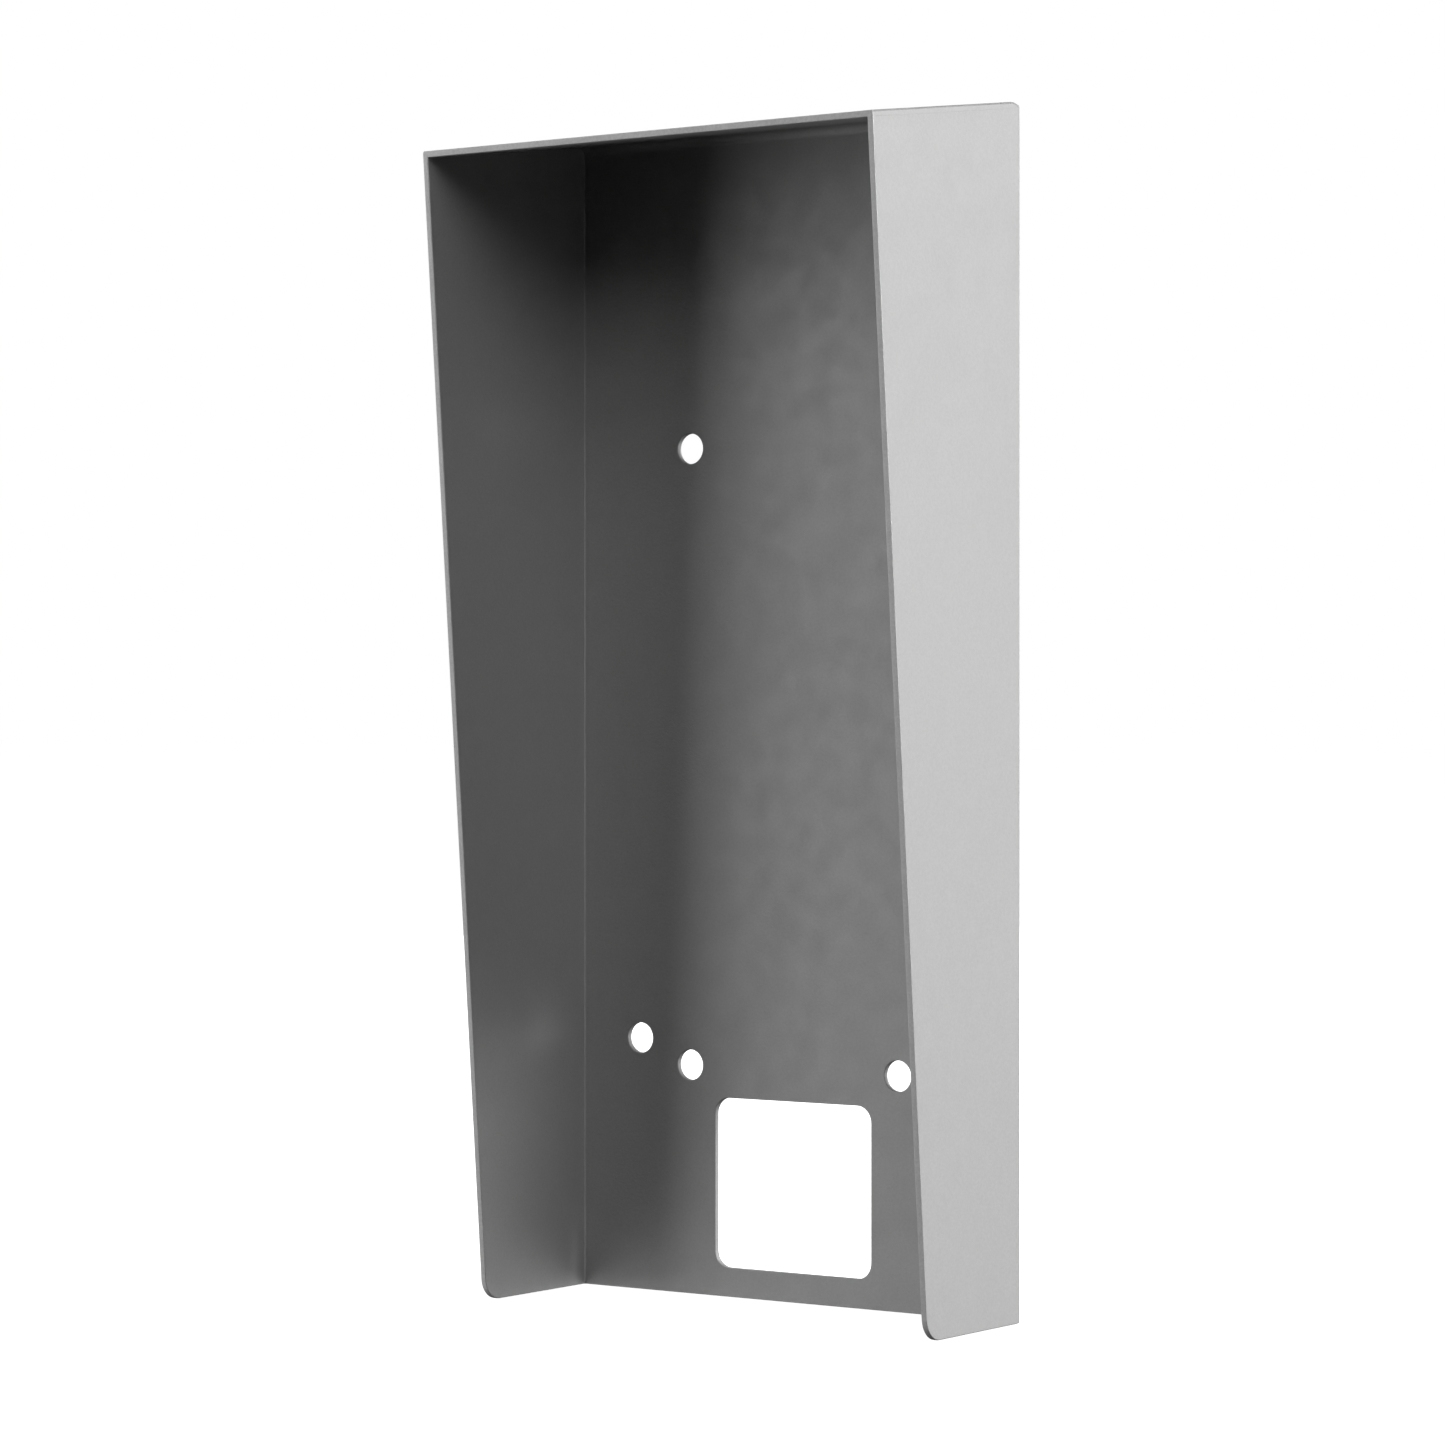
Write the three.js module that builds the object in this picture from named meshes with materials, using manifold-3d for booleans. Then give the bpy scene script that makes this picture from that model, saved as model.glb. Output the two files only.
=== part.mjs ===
// Rain hood for a surface-mounted video doorbell.
//
// One laser-cut blank of sheet metal makes the whole hood: a back plate that screws to the wall,
// two side cheeks that are folded forward from it, and a roof that is folded forward and slopes
// down to the front. The front and the underside stay open. The roof meets the top of each cheek
// in a corner-to-corner seam, and a weld that is ground flush fills each seam.
//
// Millimetres. The origin is the middle of the face that touches the wall: the wall is the plane
// Y = 0, the front is towards -Y and +Z is up.

import * as THREE from 'three';
import { mergeVertices } from 'three/addons/utils/BufferGeometryUtils.js';
import Module from 'manifold-3d';

const wasm = await Module();
wasm.setup();

// ---- driving dimensions ------------------------------------------------------------------

const height = 281.5;            // from the lower edge to the highest line of the roof fold
const width = 127;               // over the outer faces of the two cheeks
const sheet = 1.5;               // thickness of the sheet
const depthTop = 63;             // from the wall to the front edge of the roof
const depthBottom = 40.5;        // from the wall to the front edge of a cheek at its lower end
const roofSlope = THREE.MathUtils.degToRad(8);   // fall of the roof towards the front
const foldInner = 0.5;           // inner radius of the two upright folds, plate to cheek
const roofFoldInner = 2.5;       // inner radius of the fold between plate and roof
const cheekCorner = 5.5;         // radius of the lower front corner of a cheek

const holeDiameter = 7.4;        // clearance for a 5 mm to 6 mm wall screw
const boxPitch = 60;             // spacing of the two screws of a flush wall box
const boxHoleRise = 55.5;        // the lower pair of box holes, above the lower edge
const upperHoleRise = 205;       // the upper pair of holes, above the lower edge
const outerPitch = 90;           // spacing of the two holes that sit beside the box
const outerHoleRise = 61.5;      // those two holes, above the lower edge

const windowWidth = 45;          // cable window in the back plate
const windowHeight = 41;
const windowRise = 7;            // lower edge of the window, above the lower edge
const windowCorner = 4;

const jointGap = 0.3;            // clearance that stands in for the fused face of a weld

// ---- values that follow from them --------------------------------------------------------

const top = height / 2;
const bottom = -height / 2;
const halfWidth = width / 2;
const foldOuter = foldInner + sheet;
const roofFoldOuter = roofFoldInner + sheet;
const roofFoldZ = top - roofFoldOuter;           // height of the roof fold's centre line
const margin = 20;                               // how far a cutting body runs past the part
const arcSegments = 10;                          // flats per fold or rounded corner
const holeSegments = 48;                         // flats per screw hole

const steelGrey = 0xa2a4a6;                      // silver-grey powder coat
const weldGrey = 0x9b9d9f;                       // the same coat over the ground weld

// ---- solids ------------------------------------------------------------------------------

// Turns a three.js geometry into a solid that can be cut and joined.
function solid(geometry) {
  const bare = geometry.clone();
  bare.deleteAttribute('normal');
  bare.deleteAttribute('uv');
  const merged = mergeVertices(bare, 1e-4);
  const mesh = new wasm.Mesh({
    numProp: 3,
    vertProperties: Float32Array.from(merged.attributes.position.array),
    triVerts: Uint32Array.from(merged.index.array),
  });
  return new wasm.Manifold(mesh);
}

// Turns a solid back into a named mesh with its own material.
function namedMesh(name, body, color) {
  const result = body.getMesh();
  const geometry = new THREE.BufferGeometry();
  geometry.setAttribute('position', new THREE.BufferAttribute(result.vertProperties, 3));
  geometry.setIndex(new THREE.BufferAttribute(result.triVerts, 1));
  geometry.computeVertexNormals();
  const material = new THREE.MeshStandardMaterial({ color, roughness: 0.55, metalness: 0.3 });
  const mesh = new THREE.Mesh(geometry, material);
  mesh.name = name;
  return mesh;
}

function extrude(shape, depth) {
  return new THREE.ExtrudeGeometry(shape, {
    depth,
    bevelEnabled: false,
    curveSegments: arcSegments,
  });
}

// Extrudes a shape drawn in X and Y straight up, past both ends of the hood.
function upright(shape) {
  const geometry = extrude(shape, height + 2 * margin);
  geometry.translate(0, 0, bottom - margin);
  return solid(geometry);
}

// Extrudes a shape drawn in Y and Z along X, from x0 to x1.
function crosswise(shape, x0, x1) {
  const geometry = extrude(shape, x1 - x0);
  const drawnToWorld = new THREE.Matrix4().makeBasis(
    new THREE.Vector3(0, 1, 0),
    new THREE.Vector3(0, 0, 1),
    new THREE.Vector3(1, 0, 0),
  );
  geometry.applyMatrix4(drawnToWorld);
  geometry.translate(x0, 0, 0);
  return solid(geometry);
}

// ---- outlines ----------------------------------------------------------------------------

// Height of the roof line at depth y, measured `inset` below the outer face of the roof.
function roofLineZ(y, inset) {
  const radius = roofFoldOuter - inset;
  return roofFoldZ + (radius + (y + roofFoldOuter) * Math.sin(roofSlope)) / Math.cos(roofSlope);
}

// The front edge is one straight line from the roof down to the lower edge.
const frontTop = new THREE.Vector2(-depthTop, roofLineZ(-depthTop, 0));
const frontBottom = new THREE.Vector2(-depthBottom, bottom);

// The block that the hood is folded round, seen from above. `inset` is 0 for the outer faces
// and the sheet thickness for the inner faces.
function planOutline(inset) {
  const x = halfWidth - inset;
  const foldX = halfWidth - foldOuter;
  const radius = foldOuter - inset;
  const front = -depthTop - margin;
  const shape = new THREE.Shape();
  shape.moveTo(-x, front);
  shape.lineTo(x, front);
  shape.absarc(foldX, -foldOuter, radius, 0, Math.PI / 2, false);
  shape.absarc(-foldX, -foldOuter, radius, Math.PI / 2, Math.PI, false);
  return shape;
}

// The same block seen from the side, drawn in Y and Z, with the roof fold at the top. It runs
// past the lower edge and, by `lead`, past the front of the roof.
function sideOutline(inset, lead) {
  const radius = roofFoldOuter - inset;
  const foldEnd = Math.PI / 2 + roofSlope;
  const front = -depthTop - lead;
  const lowEnd = bottom - lead;
  const shape = new THREE.Shape();
  shape.moveTo(front, lowEnd);
  shape.lineTo(-inset, lowEnd);
  shape.absarc(-roofFoldOuter, roofFoldZ, radius, 0, foldEnd, false);
  shape.lineTo(front, roofLineZ(front, inset));
  return shape;
}

// Everything behind the front edge and above the lower edge, with the rounded lower corner.
function frontTrimOutline() {
  const edge = frontTop.clone().sub(frontBottom).normalize();
  const cornerAngle = Math.acos(edge.x);
  const tangent = cheekCorner / Math.tan(cornerAngle / 2);
  const arcStart = frontBottom.clone().addScaledVector(edge, tangent);
  const lead = frontTop.clone().addScaledVector(edge, margin);
  const centre = new THREE.Vector2(frontBottom.x + tangent, bottom + cheekCorner);
  const startAngle = Math.atan2(arcStart.y - centre.y, arcStart.x - centre.x);
  const shape = new THREE.Shape();
  shape.moveTo(margin, bottom);
  shape.lineTo(margin, lead.y);
  shape.lineTo(lead.x, lead.y);
  shape.absarc(centre.x, centre.y, cheekCorner, startAngle, 1.5 * Math.PI, false);
  return shape;
}

// Rounded rectangle drawn in X and Z for the cable window.
function windowOutline() {
  const x = windowWidth / 2 - windowCorner;
  const low = bottom + windowRise + windowCorner;
  const high = bottom + windowRise + windowHeight - windowCorner;
  const quarter = Math.PI / 2;
  const shape = new THREE.Shape();
  shape.absarc(x, high, windowCorner, 0, quarter, false);
  shape.absarc(-x, high, windowCorner, quarter, 2 * quarter, false);
  shape.absarc(-x, low, windowCorner, 2 * quarter, 3 * quarter, false);
  shape.absarc(x, low, windowCorner, 3 * quarter, 4 * quarter, false);
  return shape;
}

// ---- the folded sheet --------------------------------------------------------------------

// Outer block less inner block leaves the sheet, open at the front and below.
function foldedSheet() {
  const sideways = halfWidth + margin;
  const outerSide = crosswise(sideOutline(0, margin), -sideways, sideways);
  const innerSide = crosswise(sideOutline(sheet, 2 * margin), -sideways, sideways);
  const outer = upright(planOutline(0)).intersect(outerSide);
  const inner = upright(planOutline(sheet)).intersect(innerSide);
  const trim = crosswise(frontTrimOutline(), -sideways, sideways);
  return outer.subtract(inner).intersect(trim);
}

// Cylinders through the back plate at the six screw positions.
function screwHoles() {
  const pairs = [
    { pitch: boxPitch, rise: boxHoleRise },
    { pitch: boxPitch, rise: upperHoleRise },
    { pitch: outerPitch, rise: outerHoleRise },
  ];
  const holes = [];
  for (const { pitch, rise } of pairs) {
    for (const side of [-1, 1]) {
      const drill = new THREE.CylinderGeometry(
        holeDiameter / 2, holeDiameter / 2, 4 * sheet, holeSegments,
      );
      drill.translate(side * pitch / 2, 0, bottom + rise);
      holes.push(solid(drill));
    }
  }
  return holes;
}

// The cable window, cut through the back plate from front to back.
function cableWindow() {
  const geometry = extrude(windowOutline(), 4 * sheet);
  geometry.rotateX(Math.PI / 2);
  geometry.translate(0, 2 * sheet, 0);
  return solid(geometry);
}

// The strip along the seam between the roof and one cheek. It is as thick as the sheet and runs
// from the front edge back and over the roof fold. `grow` moves its inner faces outwards.
function seamStrip(side, grow) {
  const thickness = sheet + grow;
  const centreX = side * (halfWidth - thickness + margin);
  const block = new THREE.BoxGeometry(2 * margin, 2 * (depthTop + margin), 2 * margin);
  block.translate(centreX, 0, margin);
  block.rotateX(roofSlope);
  block.translate(0, 0, roofFoldZ - grow);
  const reach = 2 * margin;
  const below = crosswise(sideOutline(thickness, reach), centreX - reach, centreX + reach);
  return solid(block).subtract(below);
}

// ---- assembly ----------------------------------------------------------------------------

let hood = foldedSheet();
for (const hole of screwHoles()) {
  hood = hood.subtract(hole);
}
hood = hood.subtract(cableWindow());

const group = new THREE.Group();
const seams = [
  { side: -1, name: 'left_seam_weld' },
  { side: 1, name: 'right_seam_weld' },
];
let hoodSheet = hood;
for (const { side, name } of seams) {
  hoodSheet = hoodSheet.subtract(seamStrip(side, jointGap / 2));
  group.add(namedMesh(name, hood.intersect(seamStrip(side, -jointGap / 2)), weldGrey));
}
group.add(namedMesh('hood_sheet', hoodSheet, steelGrey));

export default group;
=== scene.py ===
"""Folded sheet-metal rain hood for a surface-mounted video doorbell, with its studio.

The hood is one laser-cut blank of steel sheet: a back plate, two tapered cheeks folded forward
from it and a sloping roof folded over the top. A ground weld closes the seam between the roof
and each cheek, and the whole is powder coated. Lengths are in metres. The wall is the plane
y = 0, the front is towards -y and +z is up.
"""

import math

import bmesh
import bpy
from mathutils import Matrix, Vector


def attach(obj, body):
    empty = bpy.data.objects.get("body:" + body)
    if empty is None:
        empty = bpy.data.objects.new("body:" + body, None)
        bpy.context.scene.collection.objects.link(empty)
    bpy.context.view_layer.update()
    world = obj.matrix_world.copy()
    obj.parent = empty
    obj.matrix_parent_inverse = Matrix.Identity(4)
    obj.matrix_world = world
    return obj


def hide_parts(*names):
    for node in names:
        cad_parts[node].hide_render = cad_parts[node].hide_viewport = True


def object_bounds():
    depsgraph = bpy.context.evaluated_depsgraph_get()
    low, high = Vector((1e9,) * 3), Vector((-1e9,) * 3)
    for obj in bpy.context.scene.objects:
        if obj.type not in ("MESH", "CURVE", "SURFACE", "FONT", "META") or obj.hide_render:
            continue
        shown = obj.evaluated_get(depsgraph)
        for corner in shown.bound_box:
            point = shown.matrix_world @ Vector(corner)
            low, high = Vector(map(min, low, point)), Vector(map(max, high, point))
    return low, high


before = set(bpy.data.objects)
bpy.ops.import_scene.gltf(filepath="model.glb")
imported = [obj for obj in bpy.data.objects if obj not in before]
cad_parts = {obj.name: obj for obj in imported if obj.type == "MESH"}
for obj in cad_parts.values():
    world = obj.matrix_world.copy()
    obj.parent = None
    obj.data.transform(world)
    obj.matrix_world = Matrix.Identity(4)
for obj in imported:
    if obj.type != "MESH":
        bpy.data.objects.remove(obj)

bl_info = {
    "name": "Doorbell Rain Hood",
    "version": (1, 0, 0),
    "blender": (4, 5, 0),
    "location": "3D View > Sidebar > Rain Hood",
    "description": "Models a folded sheet-metal rain hood and the studio that it stands in",
    "category": "Add Mesh",
}

MM = 0.001
LOW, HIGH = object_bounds()

SPARE = 10 * MM          # how far a cutting block runs past the hood
SLACK = 0.1 * MM         # allowance for telling a fold's faces from the flat ones
FOLD_SEGMENTS = 10       # flats per fold and per rounded cheek corner
WINDOW_SEGMENTS = 14     # flats per corner of the cable window
SEAM_SEGMENTS = 4        # flats across a ground seam corner
EDGE_SEGMENTS = 3        # flats across a coated edge
HOLE_SEGMENTS = 72       # flats round a screw hole
EDGE_ANGLE = 30          # degrees between two faces, past which their edge is a cut one
CRISP_ANGLE = 35         # degrees, past which shading doesn't run over the edge
FLAT_ANGLE = 0.1         # degrees, up to which two faces are one flat
ALONG = 0.97             # share of an edge's length that lies along the axis it runs in
TILT = 0.01              # least part of a normal that makes a face look to a side
FLOOR_WIDTH = 30.0
FLOOR_GAP = 0.2 * MM     # keeps the hood's foot clear of the paper

# Softboxes round the hood, all facing it: azimuth to the right of the front and elevation in
# degrees, distance, width and height in metres, power in watts.
SOFTBOXES = {
    "softbox_key": (92, 32, 1.3, 0.2, 0.6, 18.8),       # right cheek
    "softbox_low": (118, -16, 1.6, 1.6, 1.0, 7.2),      # foot of both cheeks
    "softbox_front": (46, 36, 1.6, 1.2, 1.0, 10),       # left half, inside
    "softbox_left": (-58, 14, 1.6, 1.7, 1.7, 15.4),     # right half, inside
    "softbox_foot": (-60, -38, 1.0, 0.6, 0.6, 1.5),     # lower end of the plate
    "softbox_rear": (165, 15, 1.6, 2.0, 1.5, 8.5),      # rear face and hole walls
    "softbox_back": (-125, 20, 1.6, 1.4, 1.4, 7),       # left cheek, outside
}


# ---- settings ------------------------------------------------------------------------------


def length(name, description, default):
    """A length that the user can change, given in millimetres and kept in metres."""
    return bpy.props.FloatProperty(
        name=name,
        description=description,
        default=default * MM,
        unit="LENGTH",
        subtype="DISTANCE",
        precision=5,
    )


def turn(name, description, default):
    """An angle that the user can change, given in degrees and kept in radians."""
    return bpy.props.FloatProperty(
        name=name,
        description=description,
        default=math.radians(default),
        unit="ROTATION",
        subtype="ANGLE",
    )


def colour(name, description, hex_value):
    """A colour that the user can change, given as an sRGB hex value and kept linear."""
    return bpy.props.FloatVectorProperty(
        name=name,
        description=description,
        default=linear(hex_value),
        size=3,
        min=0.0,
        max=1.0,
        subtype="COLOR",
    )


def linear(hex_value):
    """Turns an sRGB hex value such as 0x808080 into linear red, green and blue."""
    channels = []
    for shift in (16, 8, 0):
        value = (hex_value >> shift & 255) / 255
        low_part = value / 12.92
        high_part = ((value + 0.055) / 1.055) ** 2.4
        channels.append(low_part if value <= 0.04045 else high_part)
    return tuple(channels)


class HoodSettings(bpy.types.PropertyGroup):
    """Sizes of the folded sheet. Width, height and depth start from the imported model."""

    width: length("Width", "Over the outer faces of the cheeks", (HIGH.x - LOW.x) / MM)
    height: length("Height", "From the lower edge to the roof fold", (HIGH.z - LOW.z) / MM)
    depth_top: length("Roof depth", "From the wall to the roof's edge", (HIGH.y - LOW.y) / MM)
    depth_bottom: length("Foot depth", "From the wall to the cheek's lower front corner", 40.5)
    sheet: length("Sheet", "Thickness of the sheet", 1.5)
    fold: length("Fold", "Outer radius of the two upright folds", 2)
    roof_fold: length("Roof fold", "Outer radius of the fold between plate and roof", 4)
    cheek_corner: length("Cheek corner", "Radius of the cheek's lower front corner", 5.5)
    seam_round: length("Seam round", "Radius that grinding leaves on the seam", 0.45)
    edge_round: length("Edge round", "Radius that the coat leaves on a cut edge", 0.22)
    roof_slope: turn("Roof slope", "Fall of the roof towards the front", 8)
    hole: length("Screw hole", "Diameter of a screw hole", 7.4)
    box_pitch: length("Box pitch", "Spacing of the wall-box screws", 60)
    box_rise: length("Box hole height", "Lower pair of box holes above the lower edge", 55.5)
    upper_rise: length("Upper hole height", "Upper pair of holes above the lower edge", 205)
    outer_pitch: length("Outer pitch", "Spacing of the two holes beside the box", 90)
    outer_rise: length("Outer hole height", "Those two holes above the lower edge", 61.5)
    window_width: length("Window width", "Width of the cable window", 45)
    window_height: length("Window height", "Height of the cable window", 41)
    window_rise: length("Window rise", "Lower side of the window above the lower edge", 7)
    window_corner: length("Window corner", "Radius of the window's corners", 4)
    seam_line: length("Seam line", "Hairline between the weld and the sheet", 0.015)


class CoatSettings(bpy.types.PropertyGroup):
    """Look of the powder coat."""

    body: colour("Coat", "Silver-grey powder coat", 0xB6B6B6)
    shade: colour("Coat low spots", "Hollows of the fine texture", 0xB0B0B0)
    # The edge coat is paler than the body coat: a painted highlight on cut edges and on the walls
    # of the holes and window.
    edge: colour("Edge coat", "The thinner and brighter coat over a cut edge", 0xC8C8C8)
    edge_highlight_low: colour("Edge low spots", "Hollows of the coat over a cut edge", 0xBCBCBC)
    # The ground corner coat is darker than the body coat: painted shade along the rounded seam
    # corner.
    ground: colour("Ground corner coat", "The thin dull coat over the ground seam corner", 0x9C9C9C)
    ground_shade: colour("Ground low spots", "Grinding marks that show through it", 0x8E8E8E)
    grain: length("Grain", "Width of one grain of the fine texture", 0.55)
    peel: length("Flow", "Width of the soft waves that the melted powder leaves", 6)
    cloud: length("Cloud", "Width of the slow changes in coat thickness", 70)


class StageSettings(bpy.types.PropertyGroup):
    """Camera, floor and lights."""

    azimuth: turn("Azimuth", "How far the camera stands round to the right of the front", 35.3)
    elevation: turn("Elevation", "Height of the camera as an angle", 0.1)
    distance: length("Distance", "From the camera to the point it looks at", 1073)
    aim_x: length("Aim x", "Point the camera looks at, from the middle of the wall face", -14.3)
    aim_y: length("Aim y", "The same, forward of the wall", -10.1)
    aim_z: length("Aim z", "The same, up", -2.15)
    lens: bpy.props.FloatProperty(
        name="Lens",
        description="Focal length in millimetres on a 36 mm wide sensor",
        default=111.8,
        unit="CAMERA",
    )
    floor_tone: colour("Floor", "Pale floor and backdrop", 0xF4F4F4)


# ---- modelling helpers ---------------------------------------------------------------------


def deselect_everything():
    """Leaves no object selected, whatever the last operator left."""
    if bpy.context.object and bpy.context.object.mode != "OBJECT":
        bpy.ops.object.mode_set(mode="OBJECT")
    bpy.ops.object.select_all(action="DESELECT")


def make_active(piece):
    """Selects one object alone and makes it the one that operators work on."""
    deselect_everything()
    piece.select_set(True)
    bpy.context.view_layer.objects.active = piece


def start_block(name, size, centre):
    """A cube of the given size and place, as a start for a piece or a cutter."""
    deselect_everything()
    bpy.ops.mesh.primitive_cube_add(size=1, location=centre)
    block = bpy.context.object
    block.name = name
    block.scale = size
    bpy.ops.object.transform_apply(location=True, rotation=True, scale=True)
    return block


def select_parts(piece, kind, test):
    """In edit mode, selects the vertices, edges or faces for which test(part) is true."""
    make_active(piece)
    bpy.ops.object.mode_set(mode="EDIT")
    bpy.ops.mesh.select_mode(type=kind)
    bpy.ops.mesh.select_all(action="DESELECT")
    mesh = bmesh.from_edit_mesh(piece.data)
    mesh.normal_update()
    parts = {"VERT": mesh.verts, "EDGE": mesh.edges, "FACE": mesh.faces}[kind]
    chosen = [part for part in parts if test(part)]
    if not chosen:
        raise RuntimeError(f"nothing to select on {piece.name}")
    for part in chosen:
        part.select_set(True)
    mesh.select_flush_mode()
    bmesh.update_edit_mesh(piece.data)


def leave_edit():
    """Goes back to object mode."""
    bpy.ops.object.mode_set(mode="OBJECT")


def apply_modifier(piece, kind, **settings):
    """Adds a modifier with its settings and applies it."""
    make_active(piece)
    bpy.ops.object.modifier_add(type=kind)
    modifier = piece.modifiers[-1]
    for key, value in settings.items():
        setattr(modifier, key, value)
    bpy.ops.object.modifier_apply(modifier=modifier.name)


def cut(piece, cutter, operation="DIFFERENCE"):
    """Cuts the cutter out of the piece, or keeps only what they share, and removes the cutter."""
    apply_modifier(piece, "BOOLEAN", operation=operation, object=cutter, solver="EXACT",
                   material_mode="TRANSFER")
    bpy.data.objects.remove(cutter)


def near(a, b):
    """True if two lengths agree to a twentieth of a millimetre."""
    return abs(a - b) < 0.05 * MM


def along(edge, axis):
    """True if an edge runs mainly along the axis, 0 for x, 1 for y or 2 for z."""
    run = edge.verts[1].co - edge.verts[0].co
    return abs(run[axis]) > ALONG * run.length


def middle(edge):
    """Middle of an edge."""
    return (edge.verts[0].co + edge.verts[1].co) / 2


# ---- the folded sheet ----------------------------------------------------------------------


def foot(hood):
    """Height of the lower edge."""
    return HIGH.z - hood.height


def arc_start(radius, angle):
    """How far from a corner of this inside angle an arc that rounds it starts."""
    return radius / math.tan(angle / 2)


def roof_height(hood, y):
    """Height of the roof's outer face at depth y, measured on its flat part."""
    corner_rise = arc_start(hood.roof_fold, math.pi / 2 - hood.roof_slope) - hood.roof_fold
    return HIGH.z + corner_rise + y * math.tan(hood.roof_slope)


def round_edges(block, test, offset, segments, material=-1):
    """Rounds the edges for which test(edge) is true.

    `material` is the slot that the new faces take. At -1 they take their neighbours' slot.
    """
    select_parts(block, "EDGE", test)
    bpy.ops.mesh.bevel(offset=offset, segments=segments, affect="EDGES", clamp_overlap=False,
                       material=material)
    leave_edit()


def side_block(name, hood, inset, lead):
    """Block that runs past both cheeks and has the hood's outline as seen from the side.

    `inset` moves its back and its top inwards. `lead` moves its open sides, the front and the
    underside, outwards.
    """
    drop = inset / math.cos(hood.roof_slope)
    front = -hood.depth_top - lead
    corners = {
        (-1, -1): (-hood.depth_bottom - lead, foot(hood) - lead),
        (1, -1): (-inset, foot(hood) - lead),
        (1, 1): (-inset, roof_height(hood, -inset) - drop),
        (-1, 1): (front, roof_height(hood, front) - drop),
    }
    # The block starts 2 m deep and high, so its corners are 1 m out and easy to tell apart.
    block = start_block(name, (hood.width + 2 * SPARE, 2, 2), (0, 0, 0))
    for (y_side, z_side), (y, z) in corners.items():
        select_parts(block, "VERT", lambda v: near(v.co.y, y_side) and near(v.co.z, z_side))
        bpy.ops.transform.translate(value=(0, y - y_side, z - z_side))
        leave_edit()
    round_edges(block, lambda e: along(e, 0) and near(middle(e).y, -inset) and middle(e).z > 0,
                arc_start(hood.roof_fold - inset, math.pi / 2 - hood.roof_slope), FOLD_SEGMENTS)
    return block


def plan_block(hood, inset):
    """Block with the hood's outline as seen from above, with the two upright folds."""
    depth = hood.depth_top + 3 * SPARE
    size = (hood.width - 2 * inset, depth, hood.height + 4 * SPARE)
    block = start_block("plan", size, (0, -inset - depth / 2, 0))
    round_edges(block, lambda e: along(e, 2) and near(middle(e).y, -inset),
                hood.fold - inset, FOLD_SEGMENTS)
    return block


def faces_open_side(face):
    """True for a face that looks forward or down, where the hood is open."""
    return min(face.normal.y, face.normal.z) < -TILT


def outer_block(hood, coat, edge_highlight_coat, corner_shade_coat):
    """Solid block inside the hood's outer faces, with the edge coat on the sides it opens to.

    The edge coat there is a painted highlight. Its third material is for the ground corners of the
    seams, where it is painted shade.
    """
    block = side_block("folded_hood", hood, 0, 0)
    lean = math.atan2(hood.depth_top - hood.depth_bottom, hood.height)
    round_edges(block, lambda e: along(e, 0) and near(middle(e).z, foot(hood))
                and near(middle(e).y, -hood.depth_bottom),
                arc_start(hood.cheek_corner, math.pi / 2 + lean), FOLD_SEGMENTS)
    block.data.materials.append(coat)
    block.data.materials.append(edge_highlight_coat)
    block.data.materials.append(corner_shade_coat)
    # The front and lower faces become the cut rims and take the edge coat's painted highlight.
    select_parts(block, "FACE", faces_open_side)
    block.active_material_index = 1
    bpy.ops.object.material_slot_assign()
    leave_edit()
    plan = plan_block(hood, 0)
    plan.data.materials.append(coat)
    cut(block, plan, "INTERSECT")
    return block


def inner_block(hood, coat):
    """Solid block inside the hood's inner faces, out past its open sides."""
    block = side_block("inside", hood, hood.sheet, SPARE)
    block.data.materials.append(coat)
    plan = plan_block(hood, hood.sheet)
    plan.data.materials.append(coat)
    cut(block, plan, "INTERSECT")
    return block


def screw_drills(hood):
    """Six cylinders that lie front to back through the plate, one for each screw hole."""
    pairs = (
        (hood.box_pitch, hood.box_rise),
        (hood.box_pitch, hood.upper_rise),
        (hood.outer_pitch, hood.outer_rise),
    )
    drills = []
    for pitch, rise in pairs:
        for side in (-1, 1):
            deselect_everything()
            bpy.ops.mesh.primitive_cylinder_add(
                vertices=HOLE_SEGMENTS,
                radius=hood.hole / 2,
                depth=4 * hood.sheet,
                location=(side * pitch / 2, 0, foot(hood) + rise),
                rotation=(math.pi / 2, 0, 0),
            )
            bpy.ops.object.transform_apply(location=True, rotation=True, scale=True)
            drills.append(bpy.context.object)
    return drills


def window_punch(hood):
    """Rounded block in the shape of the cable window."""
    centre = (0, 0, foot(hood) + hood.window_rise + hood.window_height / 2)
    size = (hood.window_width, 4 * hood.sheet, hood.window_height)
    punch = start_block("window_punch", size, centre)
    round_edges(punch, lambda e: along(e, 1), hood.window_corner, WINDOW_SEGMENTS)
    return punch


def cut_openings(hood, sheet, edge_highlight_coat):
    """Cuts the screw holes and the window through the back plate, all at once.

    One cut divides the plate's faces once, so no hole meets an edge that an earlier one left.
    """
    punch = window_punch(hood)
    drills = screw_drills(hood)
    make_active(punch)
    for drill in drills:
        drill.select_set(True)
    bpy.ops.object.join()
    # The walls of the holes and the window take the edge coat, a painted highlight.
    punch.data.materials.append(edge_highlight_coat)
    cut(sheet, punch)


def grind_seams(hood, block, corner_shade_coat):
    """Rounds the outer corner that the two ground welds leave between roof and cheeks, and gives
    the rounding the darker ground corner coat as painted shade.
    """
    def on_seam(edge):
        ahead_of_fold = max(v.co.y for v in edge.verts) < -hood.fold + SLACK
        at_side = all(near(abs(v.co.x), hood.width / 2) for v in edge.verts)
        return (at_side and ahead_of_fold and not along(edge, 0)
                and middle(edge).z > roof_height(hood, middle(edge).y) - hood.sheet)
    slot = list(block.data.materials).index(corner_shade_coat)
    round_edges(block, on_seam, hood.seam_round, SEAM_SEGMENTS, slot)


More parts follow.
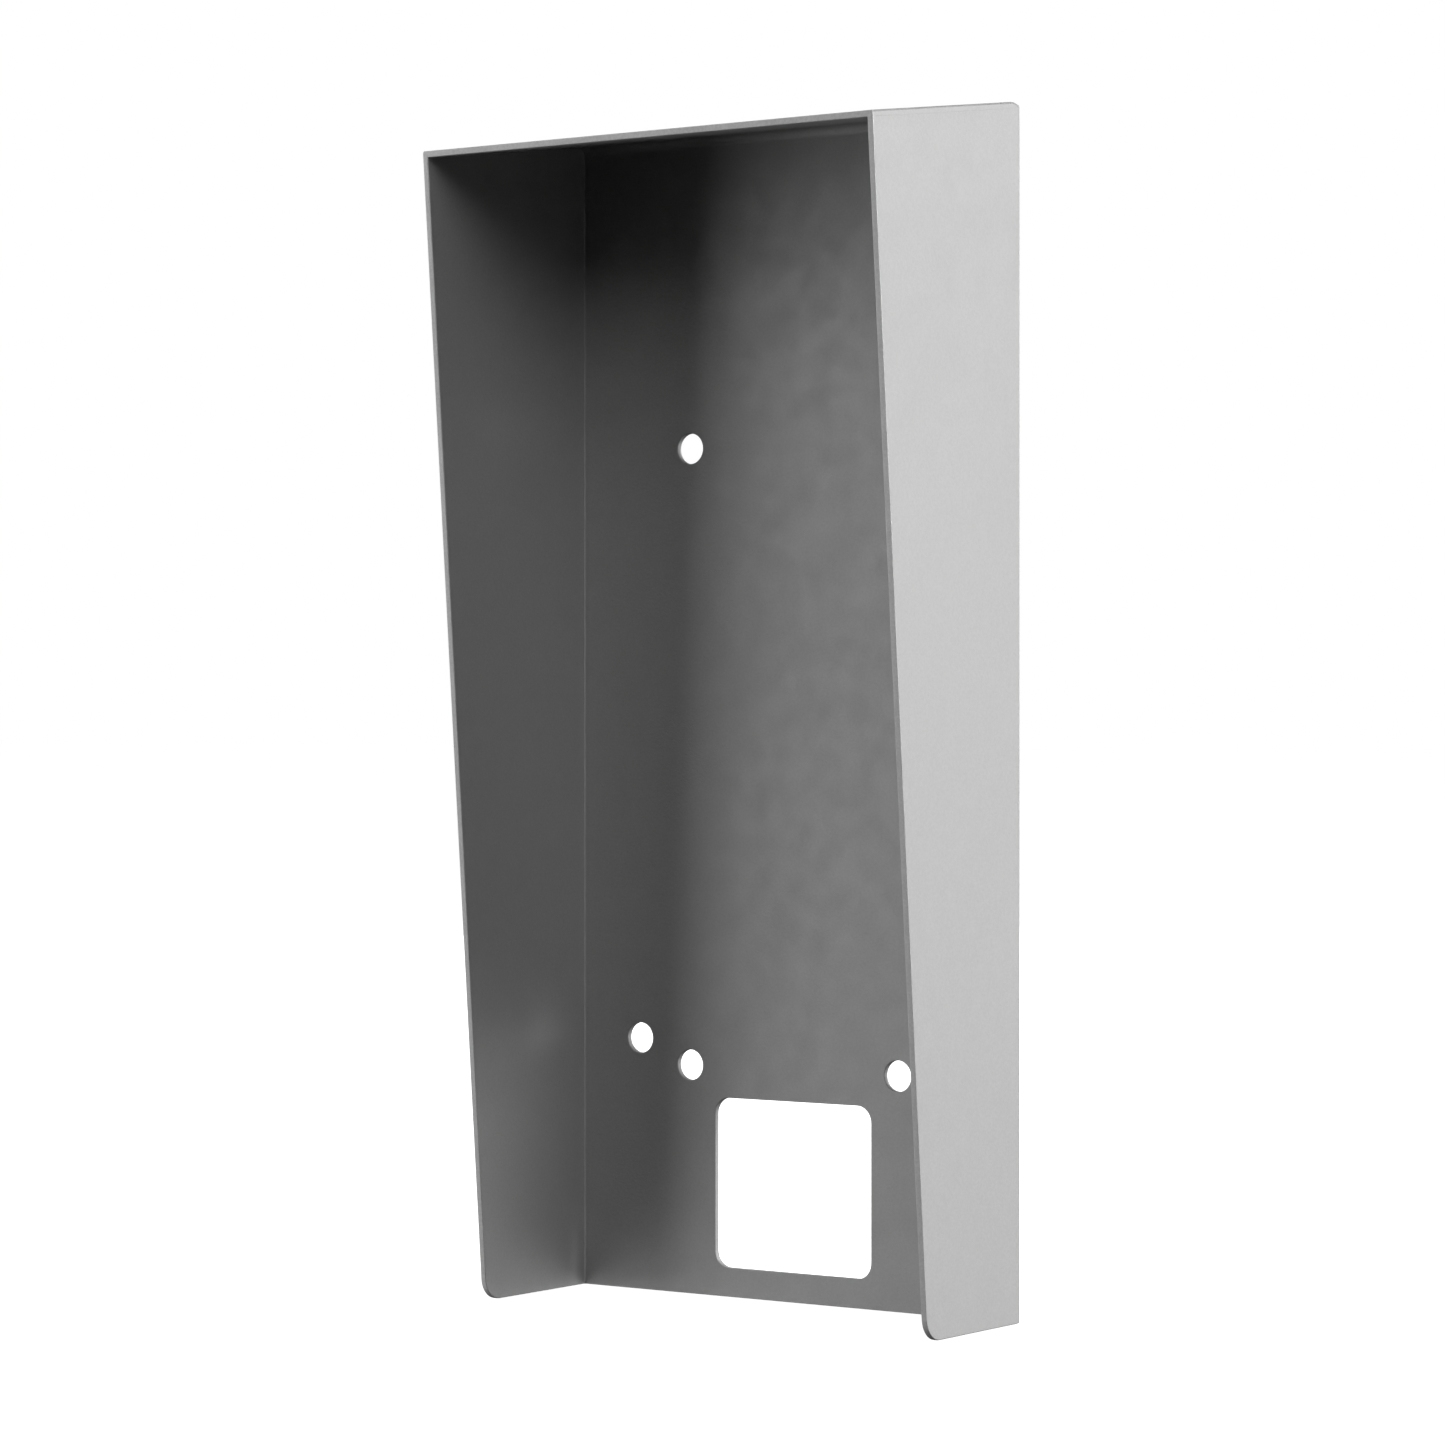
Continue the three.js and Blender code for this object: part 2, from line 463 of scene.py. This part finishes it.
def soften_edges(hood, piece):
    """Rounds every cut edge as a baked coat does, except where the three folds meet."""
    def crisp(edge):
        place = middle(edge)
        in_corner = (abs(place.x) > hood.width / 2 - hood.fold - SLACK
                     and place.y > -hood.roof_fold - SLACK
                     and place.z > HIGH.z - hood.roof_fold - SLACK)
        return not in_corner and edge.calc_face_angle(0) > math.radians(EDGE_ANGLE)
    round_edges(piece, crisp, hood.edge_round, EDGE_SEGMENTS)


def shade(piece):
    """Smooth faces with crisp arrises, and normals that follow the large flat faces."""
    make_active(piece)
    bpy.ops.object.shade_smooth_by_angle(angle=math.radians(CRISP_ANGLE))
    apply_modifier(piece, "WEIGHTED_NORMAL", keep_sharp=True, weight=100)


def clean_flats(piece):
    """Joins the flat faces that a cut has divided, so that later cuts and rounds stay even."""
    select_parts(piece, "FACE", lambda f: True)
    bpy.ops.mesh.dissolve_limited(angle_limit=math.radians(FLAT_ANGLE), delimit={"MATERIAL"})
    leave_edit()


def folded_hood(hood, coat, edge_highlight_coat, corner_shade_coat):
    """The folded sheet before any cutting, with both seams still closed."""
    sheet = outer_block(hood, coat, edge_highlight_coat, corner_shade_coat)
    grind_seams(hood, sheet, corner_shade_coat)
    cut(sheet, inner_block(hood, coat))
    clean_flats(sheet)
    return sheet


def seam_bar(hood, side, ease):
    """Block that holds the weld of one seam. It stops just short of the sheet's inner faces.

    `ease` makes it larger. It ends at the middle of the roof fold.
    """
    depth = hood.sheet - 1.5 * hood.seam_line + ease
    reach = 2 * hood.depth_top
    bar = start_block("seam_bar", (reach, reach, reach), (0, 0, reach / 2))
    bar.rotation_euler.x = hood.roof_slope
    bar.location.x = side * (hood.width / 2 - depth + reach / 2)
    bar.location.z = HIGH.z - hood.roof_fold
    bpy.ops.object.transform_apply(location=True, rotation=True, scale=False)
    cut(bar, side_block("below", hood, depth, SPARE))
    return bar


# ---- materials -----------------------------------------------------------------------------


def add_node(tree, kind, inputs=None, **settings):
    """Adds a node, sets its properties, and sets or links its inputs."""
    node = tree.nodes.new(kind)
    for key, value in settings.items():
        setattr(node, key, value)
    for key, value in (inputs or {}).items():
        if isinstance(value, bpy.types.NodeSocket):
            tree.links.new(value, node.inputs[key])
        else:
            node.inputs[key].default_value = value
    return node


def new_material(name):
    """An empty node material and its tree."""
    material = bpy.data.materials.new(name)
    material.use_nodes = True
    material.node_tree.nodes.clear()
    return material, material.node_tree


def rgba(rgb):
    """A colour with full alpha."""
    return (rgb[0], rgb[1], rgb[2], 1.0)


def powder_coat(name, coat, tones, grain_height, roughness):
    """Fine-texture silver-grey powder coat, sprayed as powder and baked on steel sheet.

    The melted powder keeps a close grain, with soft waves under it. Flakes of aluminium in the
    coat give the broad satin sheen of metal, and the grain breaks it up. `tones` are the colour
    of the hollows and of the body. The grain is drawn about twice as coarse as the real one,
    which would be too fine to show.
    """
    material, tree = new_material(name)
    place = add_node(tree, "ShaderNodeTexCoord").outputs["Object"]
    grain = add_node(tree, "ShaderNodeTexNoise", {
        "Vector": place,
        "Scale": 1 / coat.grain,
        "Detail": 3.0,
        "Roughness": 0.6,
    })
    peel = add_node(tree, "ShaderNodeTexNoise", {
        "Vector": place,
        "Scale": 1 / coat.peel,
        "Detail": 2.0,
        "Roughness": 0.5,
    })
    cloud = add_node(tree, "ShaderNodeTexNoise", {
        "Vector": place,
        "Scale": 1 / coat.cloud,
        "Detail": 3.0,
        "Roughness": 0.55,
    })
    speckle = add_node(tree, "ShaderNodeMapRange", {
        "Value": grain.outputs["Fac"],
        "From Min": 0.35,
        "From Max": 0.65,
    })
    patchy = add_node(tree, "ShaderNodeMapRange", {
        "Value": cloud.outputs["Fac"],
        "From Min": 0.3,
        "From Max": 0.7,
        "To Min": -0.15,
        "To Max": 0.15,
    })
    blend = add_node(tree, "ShaderNodeMath", {
        0: speckle.outputs["Result"],
        1: patchy.outputs["Result"],
    }, operation="ADD", use_clamp=True)
    tone = add_node(tree, "ShaderNodeMix", {
        "Factor": blend.outputs["Value"],
        "A": rgba(tones[0]),
        "B": rgba(tones[1]),
    }, data_type="RGBA")
    gloss = add_node(tree, "ShaderNodeMapRange", {
        "Value": peel.outputs["Fac"],
        "From Min": 0.3,
        "From Max": 0.7,
        "To Min": roughness - 0.04,
        "To Max": roughness + 0.04,
    })
    wave_bump = add_node(tree, "ShaderNodeBump", {
        "Strength": 0.35,
        "Distance": 0.03 * MM,
        "Height": peel.outputs["Fac"],
    })
    grain_bump = add_node(tree, "ShaderNodeBump", {
        "Strength": 1.0,
        "Distance": grain_height,
        "Height": grain.outputs["Fac"],
        "Normal": wave_bump.outputs["Normal"],
    })
    shader = add_node(tree, "ShaderNodeBsdfPrincipled", {
        "Base Color": tone.outputs["Result"],
        "Metallic": 0.55,
        "Roughness": gloss.outputs["Result"],
        "IOR": 1.5,
        "Normal": grain_bump.outputs["Normal"],
    })
    add_node(tree, "ShaderNodeOutputMaterial", {"Surface": shader.outputs["BSDF"]})
    return material


def pale_floor_material(tone):
    """Matt white paper, lit from below so that it stays pale to its far edge.

    The glow is a little weaker round the hood, which keeps a faint shadow at its foot.
    """
    material, tree = new_material("matt_white_paper")
    place = add_node(tree, "ShaderNodeTexCoord").outputs["Object"]
    reach = add_node(tree, "ShaderNodeVectorMath", {0: place}, operation="LENGTH")
    glow = add_node(tree, "ShaderNodeMapRange", {
        "Value": reach.outputs["Value"],
        "From Min": 0.2,
        "From Max": 1.0,
        "To Min": 0.88,
        "To Max": 1.0,
    })
    shader = add_node(tree, "ShaderNodeBsdfPrincipled", {
        "Base Color": rgba(tone),
        "Roughness": 0.9,
        "Emission Color": (1.0, 1.0, 1.0, 1.0),
        "Emission Strength": glow.outputs["Result"],
    })
    add_node(tree, "ShaderNodeOutputMaterial", {"Surface": shader.outputs["BSDF"]})
    return material


def hood_materials(scene):
    """The coat on the sheet's faces, on cut edges with a paler painted highlight, over the welds,
    and on their ground corners with a darker painted shade.
    """
    coat = scene.hood_coat
    on_face = (coat.shade, coat.body)
    edge_highlight_tones = (coat.edge_highlight_low, coat.edge)
    corner_shade_tones = (coat.ground_shade, coat.ground)
    # Each has its name, its tones, the height of its grain and its roughness.
    finishes = {
        # Sprayed on flat cold-rolled sheet: an even, satin silver grey.
        "face": ("fine_texture_powder_coat", on_face, 0.035 * MM, 0.54),
        # On cut edges and on the walls of the holes and window: a paler tone as a painted
        # highlight, with a coarser and less glossy grain.
        "edge": ("powder_coat_with_painted_edge_highlight", edge_highlight_tones, 0.05 * MM, 0.58),
        # Over steel that a grinding disc has levelled: the same grey with a stronger grain.
        "weld": ("powder_coat_on_ground_weld", on_face, 0.045 * MM, 0.54),
        # On the rounded ground corner: a narrow, dull line painted darker as painted shade.
        "ground": ("powder_coat_with_painted_corner_shade", corner_shade_tones, 0.03 * MM, 0.6),
    }
    made = {}
    for part, (name, tones, grain_height, roughness) in finishes.items():
        found = bpy.data.materials.get(name)
        made[part] = found or powder_coat(name, coat, tones, grain_height, roughness)
    return made


# ---- operators -----------------------------------------------------------------------------


class HOOD_OT_folded_sheet(bpy.types.Operator):
    """Models the folded sheet: back plate, cheeks and roof in one piece"""

    bl_idname = "hood.folded_sheet"
    bl_label = "Folded Sheet"
    bl_options = {"REGISTER", "UNDO"}

    def execute(self, context):
        hood = context.scene.hood_sizes
        coats = hood_materials(context.scene)
        sheet = folded_hood(hood, coats["face"], coats["edge"], coats["ground"])
        cut_openings(hood, sheet, coats["edge"])
        soften_edges(hood, sheet)
        for side in (-1, 1):
            cut(sheet, seam_bar(hood, side, hood.seam_line))
        shade(sheet)
        sheet.name = "folded_sheet"
        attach(sheet, "root")
        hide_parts("hood_sheet")
        return {"FINISHED"}


class HOOD_OT_seam_welds(bpy.types.Operator):
    """Models the ground weld along each seam between the roof and a cheek"""

    bl_idname = "hood.seam_welds"
    bl_label = "Seam Welds"
    bl_options = {"REGISTER", "UNDO"}

    def execute(self, context):
        hood = context.scene.hood_sizes
        coats = hood_materials(context.scene)
        welds = (
            (-1, "left_weld", "left_seam_weld"),
            (1, "right_weld", "right_seam_weld"),
        )
        for side, name, node in welds:
            weld = folded_hood(hood, coats["weld"], coats["edge"], coats["ground"])
            soften_edges(hood, weld)
            cut(weld, seam_bar(hood, side, 0.0), "INTERSECT")
            shade(weld)
            weld.name = name
            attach(weld, "root")
            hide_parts(node)
        return {"FINISHED"}


def point_at(thing, target):
    """Turns a lamp or the camera to face a point."""
    thing.rotation_euler = (Vector(target) - thing.location).to_track_quat("-Z", "Y").to_euler()


def direction(azimuth, elevation):
    """Unit vector from the hood towards a place round it, angles in radians."""
    flat = math.cos(elevation)
    return Vector((math.sin(azimuth) * flat, -math.cos(azimuth) * flat, math.sin(elevation)))


def add_softbox(name, azimuth, elevation, distance, width, height, power):
    """A rectangular softbox that faces the hood and stays out of the picture."""
    lamp = bpy.data.lights.new(name, "AREA")
    lamp.shape = "RECTANGLE"
    lamp.size = width
    lamp.size_y = height
    lamp.energy = power
    box = bpy.data.objects.new(name, lamp)
    bpy.context.scene.collection.objects.link(box)
    box.location = direction(math.radians(azimuth), math.radians(elevation)) * distance
    box.visible_camera = False
    point_at(box, (0, 0, 0))


class HOOD_OT_stage(bpy.types.Operator):
    """Sets up the pale floor, the soft studio lights and the camera"""

    bl_idname = "hood.stage"
    bl_label = "Stage"
    bl_options = {"REGISTER", "UNDO"}

    def execute(self, context):
        stage = context.scene.hood_stage
        self.add_floor(stage)
        for name, layout in SOFTBOXES.items():
            add_softbox(name, *layout)
        self.add_world(context.scene)
        self.add_camera(context.scene, stage)
        return {"FINISHED"}

    def add_floor(self, stage):
        """A wide sheet of white paper that the hood stands on."""
        deselect_everything()
        bpy.ops.mesh.primitive_plane_add(size=FLOOR_WIDTH, location=(0, 0, LOW.z - FLOOR_GAP))
        floor = bpy.context.object
        floor.name = "floor"
        bpy.ops.object.transform_apply(location=True, rotation=True, scale=True)
        floor.data.materials.append(pale_floor_material(stage.floor_tone))
        floor.visible_diffuse = False
        floor.visible_glossy = False
        floor.visible_shadow = False

    def add_world(self, scene):
        """Pale surroundings that the camera sees and that throw no light into the hood."""
        world = bpy.data.worlds.new("pale_room")
        world.use_nodes = True
        world.node_tree.nodes["Background"].inputs["Color"].default_value = (1, 1, 1, 1)
        world.node_tree.nodes["Background"].inputs["Strength"].default_value = 1.0
        world.cycles_visibility.diffuse = False
        world.cycles_visibility.glossy = False
        scene.world = world
        scene.view_settings.view_transform = "Standard"

    def add_camera(self, scene, stage):
        """A long lens at the hood's own height, round to its right."""
        data = bpy.data.cameras.new("camera")
        data.lens = stage.lens
        data.sensor_width = 36.0
        camera = bpy.data.objects.new("camera", data)
        scene.collection.objects.link(camera)
        aim = Vector((stage.aim_x, stage.aim_y, stage.aim_z))
        camera.location = aim + direction(stage.azimuth, stage.elevation) * stage.distance
        point_at(camera, aim)
        scene.camera = camera


# ---- panel and registration ----------------------------------------------------------------


class HOOD_PT_panel(bpy.types.Panel):
    """Lists the hood's settings and the operators that build it"""

    bl_idname = "HOOD_PT_panel"
    bl_label = "Rain Hood"
    bl_space_type = "VIEW_3D"
    bl_region_type = "UI"
    bl_category = "Rain Hood"

    def draw(self, context):
        layout = self.layout
        scene = context.scene
        for group in (scene.hood_sizes, scene.hood_coat, scene.hood_stage):
            box = layout.box()
            for key in group.__annotations__:
                box.prop(group, key)
        for operator in (HOOD_OT_folded_sheet, HOOD_OT_seam_welds, HOOD_OT_stage):
            layout.operator(operator.bl_idname)


CLASSES = (
    HoodSettings,
    CoatSettings,
    StageSettings,
    HOOD_OT_folded_sheet,
    HOOD_OT_seam_welds,
    HOOD_OT_stage,
    HOOD_PT_panel,
)


def register():
    for cls in CLASSES:
        bpy.utils.register_class(cls)
    bpy.types.Scene.hood_sizes = bpy.props.PointerProperty(type=HoodSettings)
    bpy.types.Scene.hood_coat = bpy.props.PointerProperty(type=CoatSettings)
    bpy.types.Scene.hood_stage = bpy.props.PointerProperty(type=StageSettings)


def unregister():
    del bpy.types.Scene.hood_stage
    del bpy.types.Scene.hood_coat
    del bpy.types.Scene.hood_sizes
    for cls in reversed(CLASSES):
        bpy.utils.unregister_class(cls)


def main():
    """Builds the hood and its studio."""
    register()
    bpy.ops.hood.folded_sheet()
    bpy.ops.hood.seam_welds()
    bpy.ops.hood.stage()


if __name__ == "__main__":
    main()
